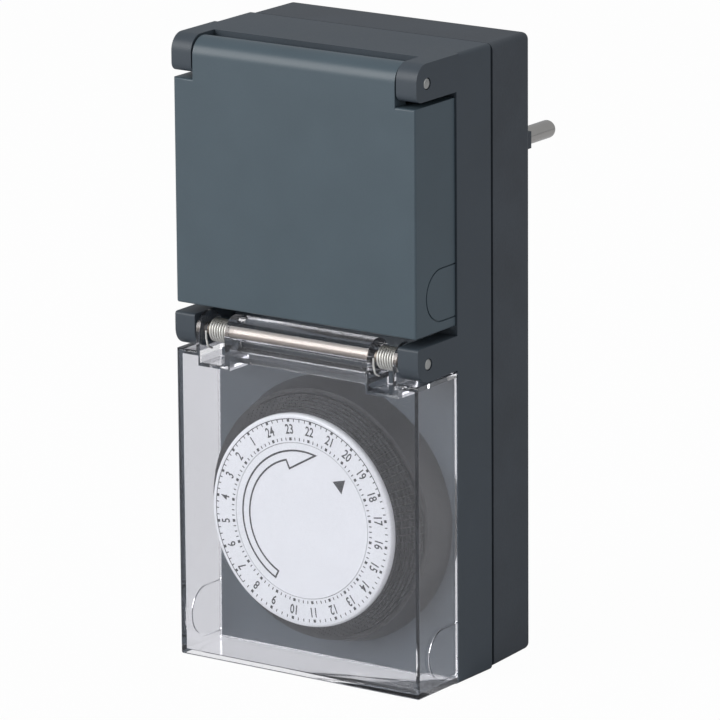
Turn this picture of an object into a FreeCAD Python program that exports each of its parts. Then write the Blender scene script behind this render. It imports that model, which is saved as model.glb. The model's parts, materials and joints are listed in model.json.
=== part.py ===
import FreeCAD, Part
import os
import re
import Sketcher

# Outdoor plug-in time switch, in millimetres.
# +X is to the right seen from the front, +Y goes to the back (the plug side) and +Z is up.
# The origin is the middle of the front casing's base: half its width and half its depth.

V = FreeCAD.Vector
FRONT_TO_BACK = FreeCAD.Rotation(V(1, 0, 0), -90)
LEFT_TO_RIGHT = FreeCAD.Rotation(V(0, 1, 0), 90)

SIZES = {
    # Casing
    "casing_width": 75.0,
    "casing_height": 164.0,
    "front_depth": 16.0,
    "rear_depth": 18.4,
    "wall": 2.2,
    "corner_radius": 1.2,
    "rear_radius": 1.8,
    "rear_step": 0.25,
    "rear_draft": 0.9,
    "seam": 1.3,
    "seal_inset": 1.2,
    "seal_width": 1.0,
    # Casing screws
    "screw_side": 6.5,
    "screw_low": 8.0,
    "screw_radius": 1.5,
    "screw_length": 24.0,
    "screw_head_radius": 2.8,
    "screw_head_height": 2.0,
    "screw_sink": 3.5,
    "boss_radius": 3.8,
    # Lids and their hinges
    "lid_depth": 17.7,
    "lid_gap": 0.2,
    "hinge_inset": 4.8,
    "barrel_radius": 4.8,
    "hinge_pin_radius": 1.5,
    "pin_recess": 0.3,
    "running": 0.05,
    "ear_width": 6.1,
    "ear_gap": 0.45,
    "ear_rise": 4.1,
    "roof_gap": 0.6,
    "spring_play": 1.05,
    "spring_wire": 0.6,
    "spring_length": 7.0,
    "cable_exit_radius": 7.0,
    "exit_groove": 0.4,
    "exit_straight": 6.0,
    # Socket lid
    "socket_lid_side": 0.5,
    "socket_lid_bottom": 94.2,
    "socket_shoulder_drop": 5.9,
    "socket_lid_wall": 1.8,
    "socket_hinge_drop": 5.2,
    # Clear timer lid
    "timer_lid_side": 0.2,
    "timer_lid_bottom": 0.3,
    "timer_shoulder_drop": 5.1,
    "timer_lid_wall": 1.4,
    "timer_hinge_height": 87.1,
    "pocket_width": 7.8,
    "pocket_drop": 8.0,
    "lug": 1.1,
    # Socket
    "socket_drop": 38.0,
    "recess_radius": 19.75,
    "recess_depth": 17.5,
    "cup_wall": 2.4,
    "collar_height": 8.0,
    "flange_width": 3.2,
    "flange_thickness": 1.8,
    "pin_spacing": 19.0,
    "plug_pin_radius": 2.4,
    "entry_play": 0.6,
    "contact_wall": 0.95,
    "contact_length": 15.7,
    "carrier_inset": 1.75,
    "carrier_depth": 9.0,
    "strip": 0.8,
    "earth_strip_width": 6.0,
    "guide_width": 4.6,
    "guide_depth": 2.4,
    # Plug
    "plug_drop": 38.0,
    "plug_radius": 18.5,
    "plug_half_width": 14.4,
    "neck_length": 32.3,
    "plug_pin_length": 19.0,
    "core_depth": 8.0,
    "pin_tail": 4.0,
    "tail_radius": 2.0,
    "root_radius": 23.5,
    "root_length": 7.0,
    "rest_lug": 2.9,
    "rest_inset": 2.2,
    "rest_lug_width": 3.0,
    # Dial
    "dial_height": 41.3,
    "dial_front": 2.55,
    "dial_radius": 28.0,
    "dial_thickness": 1.5,
    "cap_radius": 20.4,
    "cap_thickness": 1.2,
    "drum_inset": 2.1,
    "drum_wall": 2.0,
    "drum_web": 1.7,
    "drum_depth": 10.3,
    "segment_length": 5.8,
    "segment_stand": 3.6,
    "segment_step": 0.6,
    "segment_travel": 3.0,
    "segment_play": 0.3,
    "collar_lip": 1.1,
    "collar_flare": 1.9,
    "dial_hole": 23.2,
    # Timer works
    "plate_gap": 5.8,
    "plate_thickness": 1.6,
    "plate_margin": 3.5,
    "plate_low": 13.0,
    "plate_high": 82.0,
    "post_inset": 9.5,
    "post_low": 17.0,
    "post_high": 77.0,
    "post_radius": 2.8,
    "plate_screw_radius": 1.2,
    "spindle_radius": 3.0,
    "hub_radius": 5.5,
    "drum_module": 0.6,
    "wheel_module": 0.5,
    "gear_thickness": 1.8,
    "gear_gap": 0.6,
    "wheel_thickness": 1.6,
    "arbor_radius": 1.0,
    "motor_radius": 12.0,
    "motor_length": 12.4,
    "follower_out": 1.0,
    "follower_radius": 1.4,
    "follower_travel": 1.5,
    "switch_width": 9.6,
    "switch_height": 12.0,
    "switch_gap": 4.4,
    "follower_back_gap": 1.7,
    "follower_play": 0.4,
    "switch_depth": 6.0,
}
# Sizes that follow from others, so that what fits together keeps fitting.
TIED = {
    "socket_lid_width": "casing_width - 2 * socket_lid_side",
    "timer_lid_width": "casing_width - 2 * timer_lid_side",
    "socket_hinge_height": "casing_height - socket_hinge_drop",
    "socket_lid_shoulder": "socket_hinge_height - socket_shoulder_drop",
    "timer_lid_shoulder": "timer_hinge_height - timer_shoulder_drop",
    "screw_high": "casing_height - screw_low",
    "socket_height": "casing_height - socket_drop",
    "plug_height": "casing_height - plug_drop",
    "post_side": "casing_width / 2 - post_inset",
    "plate_half_width": "post_side + plate_margin",
    "segment_outer": "dial_radius + segment_stand",
    "drum_radius": "dial_radius - drum_inset",
    "collar_inner": "segment_outer + segment_play",
    "collar_front_radius": "collar_inner + collar_lip",
    "collar_base_radius": "collar_front_radius + collar_flare",
    "carrier_radius": "recess_radius - carrier_inset",
    "spring_radius": "hinge_pin_radius + spring_wire + spring_play",
    "follower_side": "(dial_radius + follower_out) * 0.7071",
    "follower_drop": "follower_side",
}
DRUM_TEETH = 72
DRUM_PINION_TEETH = 12
WHEEL_TEETH = 60
MOTOR_PINION_TEETH = 10
SEGMENTS_PER_BLOCK = 8
BLOCKS = 12
SEGMENT_FILL = 0.9

# Planes across the depth, written as expressions on the sheet.
PANEL = "(0 - front_depth / 2)"
SPLIT = "(front_depth / 2)"
REAR = f"({SPLIT} + rear_depth)"
LID = f"({PANEL} - lid_depth)"
LID_RIM = f"({PANEL} - lid_gap)"
HINGE_Y = f"({LID} + hinge_inset)"
EAR_X = "(casing_width / 2 - ear_width)"
CUP_FRONT = f"({PANEL} - collar_height)"
CUP_FLOOR = f"({CUP_FRONT} + recess_depth)"
CUP_BACK = f"({CUP_FLOOR} + flange_thickness)"
PLUG_FACE = f"({REAR} + neck_length)"
DIAL = f"({LID} + dial_front)"
DRUM_FRONT = f"({DIAL} + dial_thickness)"
GEAR_FRONT = f"({PANEL} + wall + gear_gap)"
GEAR_BACK = f"({GEAR_FRONT} + gear_thickness)"
WHEEL_FRONT = f"({GEAR_BACK} + gear_gap)"
WHEEL_BACK = f"({WHEEL_FRONT} + wheel_thickness)"
PLATE = f"({PANEL} + wall + plate_gap)"
PLATE_BACK = f"({PLATE} + plate_thickness)"
WHEEL_Z = f"(dial_height + drum_module * {(DRUM_TEETH + DRUM_PINION_TEETH) / 2})"
MOTOR_X = f"(wheel_module * {(WHEEL_TEETH + MOTOR_PINION_TEETH) / 2})"

doc = FreeCAD.newDocument("PlugInTimer")
WORDS = re.compile(r"\b(" + "|".join([*SIZES, *TIED]) + r")\b")
nodes = {}


def make_sheet():
    """Write the driving sizes into the sheet, one named cell each."""
    sheet = doc.addObject("Spreadsheet::Sheet", "Sizes")
    formulas = {alias: "=" + formula for alias, formula in TIED.items()}
    for row, (alias, size) in enumerate([*SIZES.items(), *formulas.items()], 1):
        sheet.set(f"A{row}", alias)
        sheet.set(f"B{row}", str(size))
        sheet.setAlias(f"B{row}", alias)
    doc.recompute()


def size(alias):
    """Worked-out value of one size on the sheet, in millimetres."""
    return float(doc.Sizes.get(alias))


def bind(item, prop, expression):
    """Bind one property to an expression on the sheet's names."""
    item.setExpression(prop, WORDS.sub(r"Sizes.\1", str(expression)))


def put(item, x, y, z):
    """Bind the place of an object."""
    bind(item, "Placement.Base.x", x)
    bind(item, "Placement.Base.y", y)
    bind(item, "Placement.Base.z", z)
    return item


def between(low, high):
    return f"({high}) - ({low})"


def box(name, x, y, z):
    """Box between pairs of planes: x, y and z are (low, high) expressions."""
    item = doc.addObject("Part::Box", name)
    bind(item, "Length", between(*x))
    bind(item, "Width", between(*y))
    bind(item, "Height", between(*z))
    return put(item, x[0], y[0], z[0])


def rod(name, x, y, z, radius, turn=FRONT_TO_BACK):
    """Cylinder along Y (or along X with the other turn); the long direction is a pair of planes."""
    item = doc.addObject("Part::Cylinder", name)
    item.Placement.Rotation = turn
    bind(item, "Radius", radius)
    if turn == FRONT_TO_BACK:
        bind(item, "Height", between(*y))
        return put(item, x, y[0], z)
    bind(item, "Height", between(*x))
    return put(item, x[0], y, z)


def cross_rod(name, x, y, z, radius):
    """Cylinder along X."""
    return rod(name, x, y, z, radius, LEFT_TO_RIGHT)


def cone(name, x, y, z, front_radius, back_radius):
    """Cone along Y."""
    item = doc.addObject("Part::Cone", name)
    item.Placement.Rotation = FRONT_TO_BACK
    bind(item, "Radius1", front_radius)
    bind(item, "Radius2", back_radius)
    bind(item, "Height", between(*y))
    return put(item, x, y[0], z)


def fuse(name, *parts):
    item = doc.addObject("Part::MultiFuse", name)
    item.Shapes = list(parts)
    return item


def cut(name, base, *tools):
    item = doc.addObject("Part::Cut", name)
    item.Base = base
    item.Tool = tools[0] if len(tools) == 1 else fuse(name + "_tools", *tools)
    return item


def common(name, *parts):
    item = doc.addObject("Part::MultiCommon", name)
    item.Shapes = list(parts)
    return item


def fillet(name, base, radius, wanted):
    """Round the edges of base for which wanted(edge) holds."""
    doc.recompute()
    item = doc.addObject("Part::Fillet", name)
    item.Base = base
    picked = [n for n, edge in enumerate(base.Shape.Edges, 1) if wanted(edge)]
    item.Edges = [(n, radius, radius) for n in picked]
    return item


def runs_along(edge, axis):
    """True where an edge is straight and parallel to an axis, to about five degrees."""
    way = edge.Vertexes[-1].Point - edge.Vertexes[0].Point
    return way.Length > 0 and abs(way.dot(axis)) > 0.996 * way.Length


def node(name, item):
    """Keep an object as the sub-part of that name."""
    item.Label = name
    nodes[name] = item
    return item


def body(name, x="0", y="0", z="0", turn=0.0):
    """PartDesign body whose sketches lie across Y, turned about Y by turn degrees."""
    item = doc.addObject("PartDesign::Body", name + "_body")
    item.Placement.Rotation = FreeCAD.Rotation(V(0, 1, 0), turn)
    put(item, x, y, z)
    return node(name, item)


def sketch(owner, name, start, plane="XZ_Plane"):
    """Sketch across one of the body's axes at the coordinate start."""
    item = owner.newObject("Sketcher::SketchObject", name)
    item.AttachmentSupport = [(next(f for f in owner.Origin.OriginFeatures if f.Role == plane), "")]
    item.MapMode = "FlatFace"
    bind(item, "AttachmentOffset.Base.z", f"0 - ({start})" if plane == "XZ_Plane" else start)
    return item


def circle(drawing, radius, name):
    """Circle about the sketch's origin with a bound radius."""
    index = drawing.addGeometry(Part.Circle(V(0, 0, 0), V(0, 0, 1), 1.0))
    drawing.addConstraint(Sketcher.Constraint("Coincident", index, 3, -1, 1))
    number = drawing.addConstraint(Sketcher.Constraint("Radius", index, 1.0))
    drawing.renameConstraint(number, name)
    bind(drawing, f"Constraints.{name}", radius)


def disc(owner, name, span, radius, hole=None, plane="XZ_Plane"):
    """Pad a disc or a ring over a span of planes along the sketch's axis."""
    drawing = sketch(owner, name + "_sketch", span[0], plane)
    circle(drawing, radius, "outer")
    if hole is not None:
        circle(drawing, hole, "inner")
    pad = owner.newObject("PartDesign::Pad", name)
    pad.Profile = drawing
    bind(pad, "Length", between(*span))
    pad.Reversed = plane == "XZ_Plane"
    return pad


def bevel(owner, name, feature, size, wanted):
    """Chamfer the edges of a PartDesign feature for which wanted(edge) holds."""
    doc.recompute()
    item = owner.newObject("PartDesign::Chamfer", name)
    picked = [f"Edge{n}" for n, edge in enumerate(feature.Shape.Edges, 1) if wanted(edge)]
    item.Base = (feature, picked)
    item.Size = size
    return item


def rounding(owner, name, feature, radius, wanted):
    """Round the edges of a PartDesign feature for which wanted(edge) holds."""
    doc.recompute()
    item = owner.newObject("PartDesign::Fillet", name)
    picked = [f"Edge{n}" for n, edge in enumerate(feature.Shape.Edges, 1) if wanted(edge)]
    item.Base = (feature, picked)
    item.Radius = radius
    return item


def gear_teeth(owner, name, span, module, teeth):
    """Pad one tooth on the disc already there and repeat it around the axis."""
    drawing = sketch(owner, name + "_sketch", span[0])
    heights = (f"{module} * {teeth / 2 - 1.6}", f"{module} * {teeth / 2 + 0.9}")
    halves = (f"{module} * 1.08", f"{module} * 0.34")
    corners = [(-1, 10), (1, 10), (0.5, 12), (-0.5, 12)]
    for start, end in zip(corners, corners[1:] + corners[:1]):
        drawing.addGeometry(Part.LineSegment(V(*start, 0), V(*end, 0)))
    for side in range(4):
        drawing.addConstraint(Sketcher.Constraint("Coincident", side, 2, (side + 1) % 4, 1))
    for label, first, second, height, half in (
        ("root", (0, 1), (0, 2), heights[0], halves[0]),
        ("tip", (2, 2), (2, 1), heights[1], halves[1]),
    ):
        drawing.addConstraint(Sketcher.Constraint("Symmetric", *first, *second, -2))
        tall = drawing.addConstraint(Sketcher.Constraint("DistanceY", -1, 1, *second, 10.0))
        drawing.renameConstraint(tall, label + "_height")
        bind(drawing, f"Constraints.{label}_height", height)
        wide = drawing.addConstraint(Sketcher.Constraint("DistanceX", -1, 1, *second, 1.0))
        drawing.renameConstraint(wide, label + "_half_width")
        bind(drawing, f"Constraints.{label}_half_width", half)
    tooth = owner.newObject("PartDesign::Pad", name + "_tooth")
    tooth.Profile = drawing
    bind(tooth, "Length", between(*span))
    tooth.Reversed = True
    doc.recompute()
    ring = owner.newObject("PartDesign::PolarPattern", name)
    ring.Originals = [tooth]
    ring.Axis = (drawing, ["N_Axis"])
    ring.Angle = 360.0
    ring.Occurrences = teeth
    owner.Tip = ring
    return ring


def root_radius(module, teeth):
    return f"{module} * {teeth / 2 - 1.25}"


def mirrored_boxes(name, x, y, z):
    """A box right of the middle and its mirror left of it."""
    right = box(name + "_right", x, y, z)
    left = box(name + "_left", (f"0 - ({x[1]})", f"0 - ({x[0]})"), y, z)
    return [right, left]


def ear_pair(name, hinge_height, top, bottom_radius, top_radius):
    """Two ears that carry a hinge pin, rounded in front."""
    span = (EAR_X, "casing_width / 2")
    rise = (f"{hinge_height} - ear_rise - 0.3", top)
    ears = []
    for blank in mirrored_boxes(name, span, (LID, PANEL + " + wall / 2"), rise):
        doc.recompute()
        front = min(vertex.Point.y for vertex in blank.Shape.Vertexes)
        middle = blank.Shape.BoundBox.Center.z

        def low(edge):
            return runs_along(edge, V(1, 0, 0)) and edge.CenterOfMass.y < front + 0.1 and edge.CenterOfMass.z < middle

        def high(edge):
            return runs_along(edge, V(1, 0, 0)) and edge.CenterOfMass.y < front + 0.1 and edge.CenterOfMass.z > middle

        lower = fillet(blank.Name + "_low_round", blank, bottom_radius, low)
        ears.append(fillet(blank.Name + "_high_round", lower, top_radius, high))
    return ears


def corner_places():
    """Where the four casing screws stand."""
    side = "(casing_width / 2 - screw_side)"
    return [(f"{sign} * {side}", height) for sign in ("1", "-1") for height in ("screw_low", "screw_high")]


def plate_places():
    """Where the four timer plate screws stand."""
    return [(f"{sign} * post_side", height) for sign in ("1", "-1") for height in ("post_low", "post_high")]


def front_casing():
    outer = box("front_outer", ("0 - casing_width / 2", "casing_width / 2"), (PANEL, SPLIT + " - seam / 2"),
                ("0", "casing_height"))
    rounded = fillet("front_rounded", outer, size("corner_radius"), lambda edge: runs_along(edge, V(0, 1, 0)))
    roof_front = f"({HINGE_Y} + barrel_radius + roof_gap)"
    roof_low = "(socket_hinge_height - ear_rise)"
    roof = box("front_roof", ("0 - casing_width / 2", "casing_width / 2"), (roof_front, PANEL + " + wall / 2"),
               (roof_low, "casing_height"))
    ears = ear_pair("upper_ear", "socket_hinge_height", "casing_height", 2.2, 4.4)
    ears += ear_pair("lower_ear", "timer_hinge_height", "timer_hinge_height + ear_rise + 0.5", 4.4, 0.8)
    solid = fuse("front_solid", rounded, roof, *ears)
    inside = box("front_inside", ("0 - casing_width / 2 + wall", "casing_width / 2 - wall"),
                 (PANEL + " + wall", SPLIT + " + 1"), ("wall", "casing_height - wall"))
    through = ("0 - casing_width / 2 - 1", "casing_width / 2 + 1")
    pin_hole = "hinge_pin_radius + running"
    holes = [
        cross_rod("upper_pin_hole", through, HINGE_Y, "socket_hinge_height", pin_hole),
        cross_rod("lower_pin_hole", through, HINGE_Y, "timer_hinge_height", pin_hole),
        rod("socket_hole", "0", (PANEL + " - 1", PANEL + " + wall + 1"), "socket_height",
            "recess_radius + cup_wall + running"),
        rod("dial_opening", "0", (PANEL + " - 1", PANEL + " + wall + 1"), "dial_height", "dial_hole"),
        rod("follower_hole", "0 - follower_side", (PANEL + " - 1", PANEL + " + wall + 1"),
            "dial_height - follower_drop", "follower_radius + 0.3"),
    ]
    shell = cut("front_shell", solid, inside, *holes)
    bosses = []
    drills = []
    for number, (x, z) in enumerate(corner_places()):
        bosses.append(rod(f"front_boss_{number}", x, (PANEL + " + wall / 2", SPLIT + " - seam / 2"), z, "boss_radius"))
        drills.append(rod(f"front_drill_{number}", x, (f"{REAR} - screw_sink - screw_length - 0.5", SPLIT), z,
                          "screw_radius + running"))
    for number, (x, z) in enumerate(plate_places()):
        bosses.append(rod(f"post_{number}", x, (PANEL + " + wall / 2", PLATE), z, "post_radius"))
        drills.append(rod(f"post_drill_{number}", x, (PANEL + " + wall", PLATE + " + 1"), z,
                          "plate_screw_radius + running"))
    node("front_casing", cut("front_drilled", fuse("front_with_bosses", shell, *bosses), *drills))


def rear_casing():
    front = f"({SPLIT} + seam / 2)"
    half = "(casing_width / 2 - rear_step)"
    wedge = doc.addObject("Part::Wedge", "rear_outer")
    bind(wedge, "Xmin", f"0 - {half}")
    bind(wedge, "Xmax", half)
    bind(wedge, "X2min", f"0 - {half} + rear_step")
    bind(wedge, "X2max", f"{half} - rear_step")
    bind(wedge, "Zmin", "rear_step")
    bind(wedge, "Zmax", "casing_height - rear_step")
    bind(wedge, "Z2min", "rear_draft")
    bind(wedge, "Z2max", "casing_height - rear_step")
    bind(wedge, "Ymin", front)
    bind(wedge, "Ymax", REAR)
    doc.recompute()
    start = wedge.Shape.BoundBox.YMin
    rounded = fillet("rear_rounded", wedge, size("rear_radius"), lambda edge: edge.CenterOfMass.y > start + 0.1)
    face = (REAR + " - wall / 2", PLUG_FACE)
    barrel = rod("neck_round", "0", face, "plug_height", "plug_radius")
    flats = box("neck_flats", ("0 - plug_half_width", "plug_half_width"), face,
                ("plug_height - plug_radius - 1", "plug_height + plug_radius + 1"))
    neck = common("neck_outer", barrel, flats)
    root = cone("neck_root", "0", (REAR + " - wall / 2", f"{REAR} + root_length"), "plug_height", "root_radius",
                "plug_radius")
    lugs = mirrored_boxes("rest_lug_block",
                          ("casing_width / 2 - rest_inset - rest_lug_width", "casing_width / 2 - rest_inset"),
                          (REAR + " - wall / 2", f"{REAR} + rest_lug"), ("plug_height + 6.8", "plug_height + 11.2"))
    solid = fuse("rear_solid", rounded, neck, root, *lugs)
    inside = box("rear_inside", ("0 - casing_width / 2 + wall + rear_step", "casing_width / 2 - wall - rear_step"),
                 (front + " - 1", REAR + " - wall"), ("wall + rear_draft", "casing_height - wall - rear_step"))
    bore_span = (REAR + " - wall - 1", PLUG_FACE + " + 1")
    bore_round = rod("neck_bore_round", "0", bore_span, "plug_height", "plug_radius - wall")
    bore_flats = box("neck_bore_flats", ("wall - plug_half_width", "plug_half_width - wall"), bore_span,
                     ("plug_height - plug_radius", "plug_height + plug_radius"))
    bore = common("neck_bore", bore_round, bore_flats)
    strip_half = "(earth_strip_width / 2 + 0.2)"
    slots = []
    for sign, name in (("1", "top"), ("-1", "bottom")):
        middle = f"plug_height + {sign} * (plug_radius - strip / 2)"
        slots.append(box(f"earth_slot_{name}", (f"0 - {strip_half}", strip_half),
                         (f"{PLUG_FACE} - 2 * core_depth", PLUG_FACE + " + 1"),
                         (f"{middle} - strip / 2 - 0.05", f"{middle} + strip / 2 + 0.05")))
        inner = f"plug_height + {sign} * (plug_radius - wall / 2 - strip / 2)"
        slots.append(box(f"earth_pass_{name}", (f"0 - {strip_half}", strip_half),
                         (f"{PLUG_FACE} - 2 * core_depth", f"{PLUG_FACE} - 2 * core_depth + strip + 0.1"),
                         (f"{inner} - wall", f"{inner} + wall")))
    shell = cut("rear_shell", solid, inside, bore, *slots)
    bosses = []
    drills = []
    for number, (x, z) in enumerate(corner_places()):
        bosses.append(rod(f"rear_boss_{number}", x, (front, REAR + " - wall / 2"), z, "boss_radius"))
        drills.append(rod(f"rear_drill_{number}", x, (front + " - 1", REAR + " + 1"), z, "screw_radius + 0.2"))
        drills.append(rod(f"rear_sink_{number}", x, (f"{REAR} - screw_sink", REAR + " + 1"), z,
                          "screw_head_radius + 0.2"))
    node("rear_casing", cut("rear_drilled", fuse("rear_with_bosses", shell, *bosses), *drills))


def casing_seal():
    frames = []
    for name, inset in (("seal_outer", "seal_inset"), ("seal_inner", "(seal_inset + seal_width)")):
        frames.append(box(name, (f"{inset} - casing_width / 2", f"casing_width / 2 - {inset}"),
                          (SPLIT + " - seam / 2", SPLIT + " + seam / 2"), (inset, f"casing_height - {inset}")))
    node("casing_seal", cut("seal_ring", *frames))


def casing_screws():
    screws = []
    for number, (x, z) in enumerate(corner_places()):
        seat = f"({REAR} - screw_sink)"
        shank = rod(f"screw_shank_{number}", x, (f"{seat} - screw_length", seat), z, "screw_radius")
        head = rod(f"screw_head_{number}", x, (seat, f"{seat} + screw_head_height"), z, "screw_head_radius")
        screws.append(fuse(f"screw_{number}", shank, head))
    group = doc.addObject("Part::Compound", "casing_screw_group")
    group.Links = screws
    node("casing_screws", group)


def exit_outline(name, half_width, height, wall_side):
    """Groove around a thin cable exit on one side of a lid, and the nick at its rim."""
    deep = (f"{half_width} - exit_groove", f"{half_width} + 1")
    if wall_side < 0:
        deep = (f"0 - {half_width} - 1", f"0 - {half_width} + exit_groove")
    centre = f"({LID_RIM} - exit_straight)"
    rear_half = box(name + "_rear", deep, (centre, LID_RIM + " + 1"),
                    (f"{height} - cable_exit_radius - 1", f"{height} + cable_exit_radius + 1"))
    ring = cut(name, cross_rod(name + "_outer", deep, centre, height, "cable_exit_radius"),
               cross_rod(name + "_inner", deep, centre, height, "cable_exit_radius - exit_groove"), rear_half)
    nicks = [
        box(f"{name}_nick_{place}", deep, (centre, LID_RIM + " + 1"),
            (f"{height} + {place} * (cable_exit_radius - exit_groove / 2) - exit_groove / 2",
             f"{height} + {place} * (cable_exit_radius - exit_groove / 2) + exit_groove / 2"))
        for place in ("1", "-1")
    ]
    return [ring, *nicks]


def lid_blank(name, half_width, bottom, shoulder, wall):
    """Open lid: front wall, side walls, bottom wall and the two short top walls under the ears."""
    outer = box(name + "_outer", (f"0 - {half_width}", half_width), (LID, LID_RIM), (bottom, shoulder))
    doc.recompute()
    front = outer.Shape.BoundBox.YMin
    low = outer.Shape.BoundBox.ZMin
    rounded = fillet(name + "_rounded", outer, 0.6,
                     lambda edge: edge.CenterOfMass.y < front + 0.1 or
                     (runs_along(edge, V(0, 1, 0)) and edge.CenterOfMass.z < low + 0.1))
    inside = box(name + "_inside", (f"{wall} - {half_width}", f"{half_width} - {wall}"),
                 (f"{LID} + {wall}", LID_RIM + " + 1"), (f"{bottom} + {wall}", f"{shoulder} - {wall}"))
    return rounded, inside


def socket_lid():
    half = "(socket_lid_width / 2)"
    wall = "socket_lid_wall"
    rounded, inside = lid_blank("socket_lid", half, "socket_lid_bottom", "socket_lid_shoulder", wall)
    reach = f"({EAR_X} - ear_gap)"
    top_open = box("socket_lid_open_top", (f"0 - {reach}", reach), (f"{HINGE_Y}", LID_RIM + " + 1"),
                   (f"socket_lid_shoulder - 3 * {wall}", "socket_lid_shoulder + 1"))
    barrel = cross_rod("socket_barrel", (f"0 - {reach}", reach), HINGE_Y, "socket_hinge_height", "barrel_radius")
    web = box("socket_web", (f"0 - {reach}", reach), (LID, HINGE_Y),
              (f"socket_lid_shoulder - 2 * {wall}", "socket_hinge_height"))
    solid = fuse("socket_lid_solid", cut("socket_lid_shell", rounded, inside, top_open), barrel, web)
    holes = [cross_rod("socket_lid_bore", (f"0 - {reach} - 1", f"{reach} + 1"), HINGE_Y, "socket_hinge_height",
                       "hinge_pin_radius + running")]
    holes.append(cross_rod("socket_spring_room", (f"{reach} - spring_length - 0.3", f"{reach} + 1"), HINGE_Y,
                           "socket_hinge_height", "spring_radius + 0.3"))
    exits = []
    for side in (1, -1):
        exits += exit_outline(f"socket_exit_{'right' if side > 0 else 'left'}", half,
                              "socket_lid_bottom + cable_exit_radius + 2.5", side)
    node("socket_lid", cut("socket_lid_final", solid, *holes, *exits))


def timer_lid():
    half = "(timer_lid_width / 2)"
    wall = "timer_lid_wall"
    rounded, inside = lid_blank("timer_lid", half, "timer_lid_bottom", "timer_lid_shoulder", wall)
    reach = f"({EAR_X} - ear_gap)"
    pocket = f"({reach} - 2 * lug - pocket_width)"
    rim = f"({HINGE_Y} + barrel_radius)"
    top_open = box("timer_lid_open_top", (f"0 - {reach}", reach), (rim, LID_RIM + " + 1"),
                   (f"timer_lid_shoulder - 2 * {wall}", "timer_lid_shoulder + 1"))
    barrel = cross_rod("timer_barrel", (f"0 - {pocket}", pocket), HINGE_Y, "timer_hinge_height", "barrel_radius")
    web = box("timer_web", (f"0 - {pocket}", pocket), (LID, f"{LID} + {wall}"),
              (f"timer_lid_shoulder - {wall}", "timer_hinge_height"))
    floor_z = "(timer_hinge_height - pocket_drop)"
    pieces = [cut("timer_lid_shell", rounded, inside, top_open), barrel, web]
    for sign, side in ((1, "right"), (-1, "left")):
        for place, low in (("inner", pocket), ("outer", f"({reach} - lug)")):
            span = (low, f"{low} + lug")
            if sign < 0:
                span = (f"0 - {low} - lug", f"0 - {low}")
            pieces.append(cross_rod(f"lug_{side}_{place}", span, HINGE_Y, "timer_hinge_height", "barrel_radius"))
            pieces.append(box(f"lug_wall_{side}_{place}", span, (LID, rim), (floor_z, "timer_hinge_height")))
        span = (pocket, reach)
        if sign < 0:
            span = (f"0 - {reach}", f"0 - {pocket}")
        pieces.append(box(f"pocket_floor_{side}", span, (LID, rim), (f"{floor_z} - lug", floor_z)))
    solid = fuse("timer_lid_solid", *pieces)
    holes = [cross_rod("timer_lid_bore", (f"0 - {reach} - 1", f"{reach} + 1"), HINGE_Y, "timer_hinge_height",
                       "hinge_pin_radius + running")]
    holes += mirrored_boxes("pocket_window", (f"{pocket} + lug", f"{reach} - lug"), (LID + " - 1", rim + " + 0.5"),
                            (floor_z, "timer_hinge_height + barrel_radius + 1"))
    exits = []
    for side in (1, -1):
        exits += exit_outline(f"timer_exit_{'right' if side > 0 else 'left'}", half,
                              "timer_lid_bottom + cable_exit_radius + 2.5", side)
    node("timer_lid", cut("timer_lid_final", solid, *holes, *exits))


def hinge_pin(name, height):
    """Steel pin between the two ears, with bevelled ends."""
    end = "(casing_width / 2 - pin_recess)"
    owner = body(name, "0", HINGE_Y, height)
    shaft = disc(owner, name + "_shaft", (f"0 - {end}", end), "hinge_pin_radius", plane="YZ_Plane")
    bevel(owner, name + "_bevel", shaft, 0.25, lambda edge: edge.Curve.TypeId == "Part::GeomCircle")


def torsion_spring(name, middle, height):
    """Coil of a lid spring, as the sleeve that its turns fill."""
    owner = body(name, middle, HINGE_Y, height)
    disc(owner, name + "_coil", ("0 - spring_length / 2", "spring_length / 2"), "spring_radius",
         "spring_radius - spring_wire", "YZ_Plane")


def springs():
    reach = f"({EAR_X} - ear_gap)"
    seat = f"({reach} - spring_length / 2 - 0.15)"
    torsion_spring("socket_lid_spring", seat, "socket_hinge_height")
    pocket_middle = f"({reach} - lug - pocket_width / 2)"
    torsion_spring("timer_lid_spring_right", pocket_middle, "timer_hinge_height")
    torsion_spring("timer_lid_spring_left", f"0 - {pocket_middle}", "timer_hinge_height")


def socket_insert():
    outer = rod("cup_outer", "0", (CUP_FRONT, CUP_BACK), "socket_height", "recess_radius + cup_wall")
    flange = rod("cup_flange", "0", (PANEL + " + wall", PANEL + " + wall + flange_thickness"), "socket_height",
                 "recess_radius + cup_wall + flange_width")
    recess = rod("cup_recess", "0", (CUP_FRONT + " - 1", CUP_FLOOR), "socket_height", "recess_radius")
    guides = mirrored_boxes("cup_guide", ("recess_radius - guide_depth", "recess_radius + cup_wall / 2"),
                            (CUP_FRONT + " + 2", CUP_FLOOR + " + flange_thickness / 2"),
                            ("socket_height - guide_width / 2", "socket_height + guide_width / 2"))
    holes = [rod(f"cup_hole_{side}", f"{side} * pin_spacing / 2", (CUP_FLOOR + " - 1", CUP_BACK + " + 1"),
                 "socket_height", "plug_pin_radius + entry_play") for side in ("1", "-1")]
    for sign in ("1", "-1"):
        middle = f"socket_height + {sign} * (recess_radius - strip / 2)"
        holes.append(box(f"cup_slot_{'top' if sign == '1' else 'bottom'}",
                         ("0 - earth_strip_width / 2 - 0.3", "earth_strip_width / 2 + 0.3"),
                         (CUP_FRONT + " + 4", CUP_BACK + " + 1"),
                         (f"{middle} - strip - 0.3", f"{middle} + strip + 0.3")))
    hollow = cut("cup_hollow", fuse("cup_solid", outer, flange), recess)
    node("socket_insert", cut("cup_final", fuse("cup_with_guides", hollow, *guides), *holes))


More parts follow.
